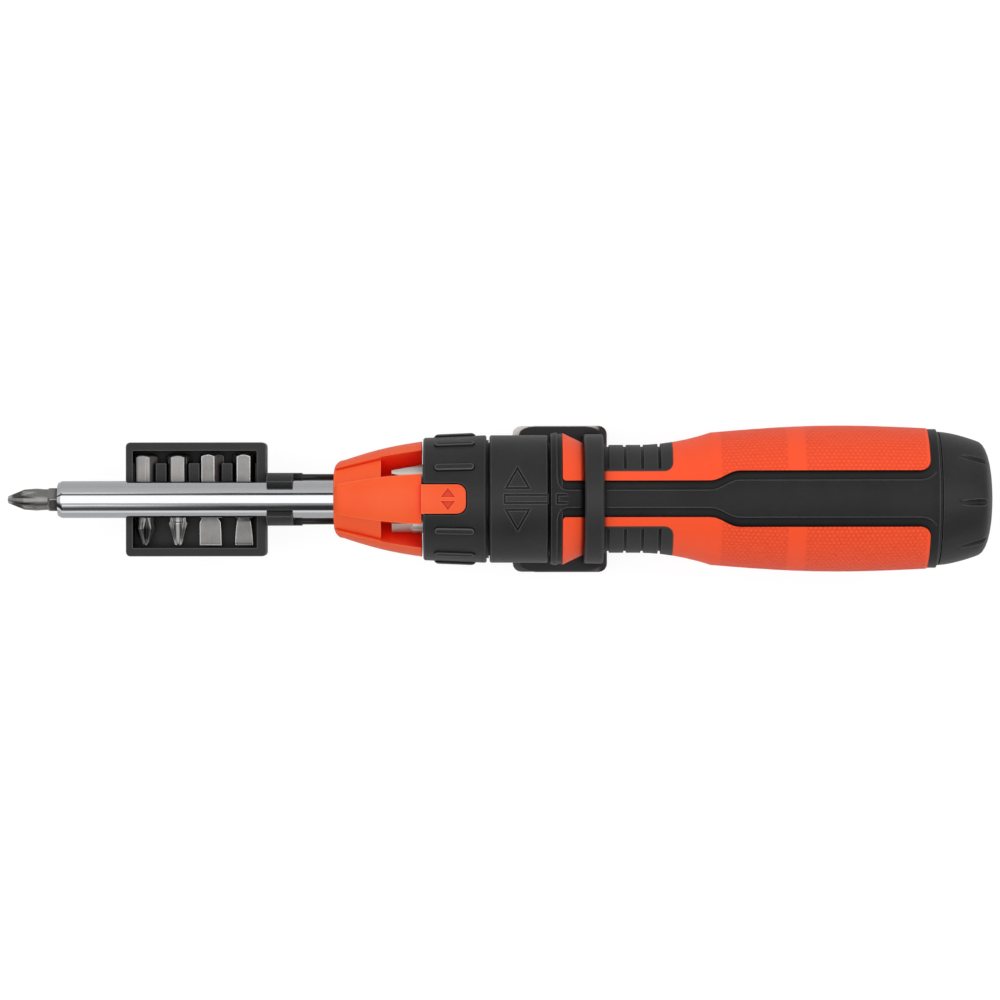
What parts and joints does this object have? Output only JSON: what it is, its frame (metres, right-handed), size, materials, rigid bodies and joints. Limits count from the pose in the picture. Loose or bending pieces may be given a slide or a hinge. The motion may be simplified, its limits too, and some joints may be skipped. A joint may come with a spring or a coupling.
{
  "type": "ratcheting screwdriver",
  "caption": "Ratcheting screwdriver with a bit magazine in its sliding nose, a selector ring, a hollow two-part handle with a screw cap, and a belt-clip carrier with a bit tray.",
  "frame": {"origin": "on the tool's axis at the mouth of the bit socket, the front end of the shaft", "axes": "+X along the tool towards the end cap, with the bit at -X; +Z away from the belt clip, the side seen in the picture; the tool lies on its belt clip"},
  "size_m": [0.2714, 0.041, 0.0489],
  "materials": {
    "chrome_tube": "polished",
    "bit_steel": "satin",
    "hardware_steel": "satin",
    "magnet_nickel": "plated",
    "bush_bronze": "matte",
    "orange_plastic": "smooth",
    "black_plastic": "fine texture",
    "orange_rubber": "soft, partly textured",
    "black_rubber": "soft",
    "black_wire": "satin",
    "clip_steel": "polished"
  },
  "bodies": {
    "handle": {"handle_core": "black_plastic", "grip_left": "orange_rubber", "grip_right": "orange_rubber", "neck_insert_left": "black_rubber", "neck_insert_right": "black_rubber", "pawl_housing": "black_plastic", "housing_cover": "black_plastic", "cover_screws": "hardware_steel", "front_bush": "bush_bronze", "rear_bush": "bush_bronze", "pawl_pins": "hardware_steel", "pawl_springs": "hardware_steel", "detent_spring": "hardware_steel"},
    "spindle": {"shaft_tube": "chrome_tube", "socket_insert": "hardware_steel", "socket_magnet": "magnet_nickel", "finger_collar": "black_plastic", "magazine_drum": "black_plastic", "stored_bit_slotted": "bit_steel", "stored_bit_square": "bit_steel", "stored_bit_star": "bit_steel", "stored_bit_phillips": "bit_steel", "ratchet_gear": "hardware_steel", "drive_pin": "hardware_steel", "thrust_washer": "hardware_steel", "retaining_ring": "hardware_steel"},
    "bit": {"fitted_bit": "bit_steel"},
    "nose": {"magazine_nose": "orange_plastic"},
    "selector": {"selector_ring": "black_plastic"},
    "pawl_one": {"pawl_forward": "hardware_steel"},
    "pawl_two": {"pawl_reverse": "hardware_steel"},
    "detent": {"detent_ball": "hardware_steel"},
    "seal": {"cap_seal": "black_rubber"},
    "cap": {"end_cap": "black_plastic"},
    "carrier": {"bit_tray": "black_plastic", "tray_bit_phillips_short": "bit_steel", "tray_bit_phillips_long": "bit_steel", "tray_bit_blade_wide": "bit_steel", "tray_bit_blade_narrow": "bit_steel", "carrier_rods": "black_wire", "strap_pad": "black_plastic", "neck_strap": "black_rubber", "belt_clip": "clip_steel", "clip_rivets": "clip_steel"}
  },
  "joints": [
    {"name": "shaft_spin", "type": "hinge", "parent": "handle", "child": "spindle", "pos_m": [0.1, 0, 0], "axis": [1, 0, 0], "continuous": true},
    {"name": "bit_pull", "type": "slide", "parent": "spindle", "child": "bit", "axis": [-1, 0, 0], "range_m": [0, 0.014]},
    {"name": "nose_slide", "type": "slide", "parent": "spindle", "child": "nose", "axis": [-1, 0, 0], "range_m": [0, 0.008]},
    {"name": "selector_turn", "type": "hinge", "parent": "handle", "child": "selector", "pos_m": [0.127, 0, 0], "axis": [1, 0, 0], "range_deg": [-24, 24]},
    {"name": "pawl_forward_lift", "type": "hinge", "parent": "handle", "child": "pawl_one", "pos_m": [0.125, 0.0079, 0.00877], "axis": [1, 0, 0], "range_deg": [0, 4]},
    {"name": "pawl_reverse_lift", "type": "hinge", "parent": "handle", "child": "pawl_two", "pos_m": [0.125, -0.0079, 0.00877], "axis": [1, 0, 0], "range_deg": [-4, 0]},
    {"name": "ball_press", "type": "slide", "parent": "handle", "child": "detent", "axis": [0, 0, 1], "range_m": [0, 0.0004]},
    {"name": "cap_lift", "type": "slide", "parent": "handle", "child": "seal", "axis": [1, 0, 0], "range_m": [0, 0.006]},
    {"name": "cap_turn", "type": "hinge", "parent": "seal", "child": "cap", "pos_m": [0.243, 0, 0], "axis": [1, 0, 0], "range_deg": [0, 1080]},
    {"name": "carrier_turn", "type": "hinge", "parent": "handle", "child": "carrier", "pos_m": [0.137, 0, 0], "axis": [1, 0, 0], "continuous": true}
  ],
  "couplings": [
    {"joint": "cap_lift", "follows": "cap_turn", "m_per_rad": 0.00031831}
  ]
}
